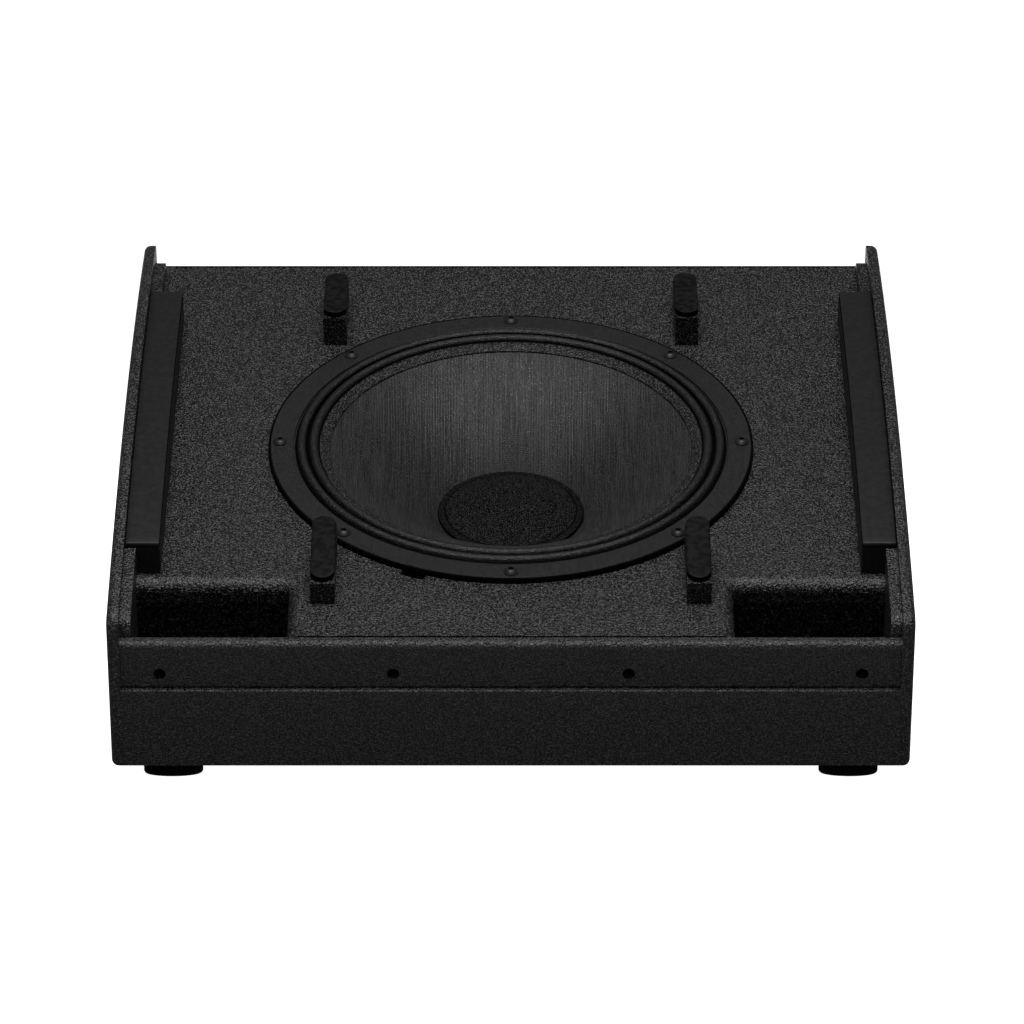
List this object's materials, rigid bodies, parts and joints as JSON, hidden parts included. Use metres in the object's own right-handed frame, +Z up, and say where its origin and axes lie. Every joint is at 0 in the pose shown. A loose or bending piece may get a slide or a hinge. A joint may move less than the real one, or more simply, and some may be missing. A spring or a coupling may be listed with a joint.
{
  "type": "stage monitor wedge",
  "caption": "Low-profile stage monitor wedge with a coaxial driver, two front ports, grille supports and a recessed rear handle; its grille is off.",
  "frame": {"origin": "on the floor, under the middle of the wedge's bounding box", "axes": "+X to the right as seen from the front, +Y to the back, +Z up; the baffle rises towards +Y at 28.3 degrees"},
  "size_m": [0.616, 0.5264, 0.3915],
  "materials": {
    "textured_paint": "black textured polyurethane coating on birch plywood",
    "painted_wood": "thin black paint on plywood",
    "bare_plywood": "sanded birch plywood",
    "soft_foam": "smooth closed-cell foam, dark grey",
    "driver_casting": "black powder-coated casting",
    "driver_foam": "gasket foam",
    "surround_cloth": "doped cloth",
    "cone_paper": "fibre-loaded paper with a woven face",
    "cap_mesh": "fine black mesh",
    "black_steel": "black oxide",
    "zinc_steel": "zinc plated",
    "ferrite": "ground ferrite",
    "motor_steel": "black passivated steel",
    "copper_winding": "enamelled copper wire",
    "former_film": "amber polyimide",
    "spider_cloth": "phenolic-treated cloth",
    "titanium": "thin drawn titanium",
    "foot_rubber": "moulded black rubber",
    "circuit_board": "solder-masked laminate",
    "capacitor_case": "wrapped film capacitor",
    "moulded_plastic": "glass-filled black nylon",
    "cable_jacket": "black flexible PVC",
    "grip_rubber": "ribbed black rubber"
  },
  "bodies": {
    "cabinet": {"side_panel_left": "textured_paint", "side_panel_right": "textured_paint", "baffle": "textured_paint", "front_panel": "textured_paint", "bottom_panel": "textured_paint", "top_panel": "textured_paint", "back_panel": "textured_paint", "port_wall_left": "painted_wood", "port_wall_right": "painted_wood", "port_divider_left": "painted_wood", "port_divider_right": "painted_wood", "brace_left": "bare_plywood", "brace_right": "bare_plywood", "batten_left": "painted_wood", "batten_right": "painted_wood", "edge_strip_left": "soft_foam", "edge_strip_right": "soft_foam", "upper_post_left": "textured_paint", "upper_post_right": "textured_paint", "lower_post_left": "textured_paint", "lower_post_right": "textured_paint", "post_pads": "soft_foam", "grille_inserts": "zinc_steel", "foot_front_left": "foot_rubber", "foot_front_right": "foot_rubber", "foot_rear_left": "foot_rubber", "foot_rear_right": "foot_rubber", "foot_screws": "zinc_steel", "driver_basket": "driver_casting", "driver_gasket": "driver_foam", "driver_screws": "black_steel", "driver_tee_nuts": "zinc_steel", "surround": "surround_cloth", "spider": "spider_cloth", "top_plate": "motor_steel", "magnet_ring": "ferrite", "pole_piece": "motor_steel", "hf_front_plate": "motor_steel", "hf_magnet": "ferrite", "hf_top_plate": "motor_steel", "hf_phase_plug": "motor_steel", "hf_rear_cover": "driver_casting", "hf_screws": "black_steel", "driver_terminals": "moulded_plastic", "crossover_board": "circuit_board", "crossover_spacers": "zinc_steel", "crossover_inductors": "copper_winding", "crossover_capacitors": "capacitor_case", "connector_plate": "black_steel", "speaker_sockets": "moulded_plastic", "handle_dish": "black_steel", "handle_bar": "grip_rubber", "rear_screws": "black_steel", "speaker_wiring": "cable_jacket"},
    "cone_assembly": {"cone": "cone_paper", "dust_cap": "cap_mesh", "voice_coil_former": "former_film", "voice_coil": "copper_winding"},
    "hf_diaphragm_assembly": {"hf_diaphragm": "titanium", "hf_voice_coil": "copper_winding"}
  },
  "joints": [
    {"name": "cone_slide", "type": "slide", "parent": "cabinet", "child": "cone_assembly", "axis": [0, -0.4741, 0.8805], "range_m": [-0.008, 0.008], "stiffness_N_per_m": 7000, "deforming": ["surround", "spider"]},
    {"name": "hf_diaphragm_slide", "type": "slide", "parent": "cabinet", "child": "hf_diaphragm_assembly", "axis": [0, -0.4741, 0.8805], "range_m": [-0.0004, 0.0004], "stiffness_N_per_m": 2000}
  ]
}
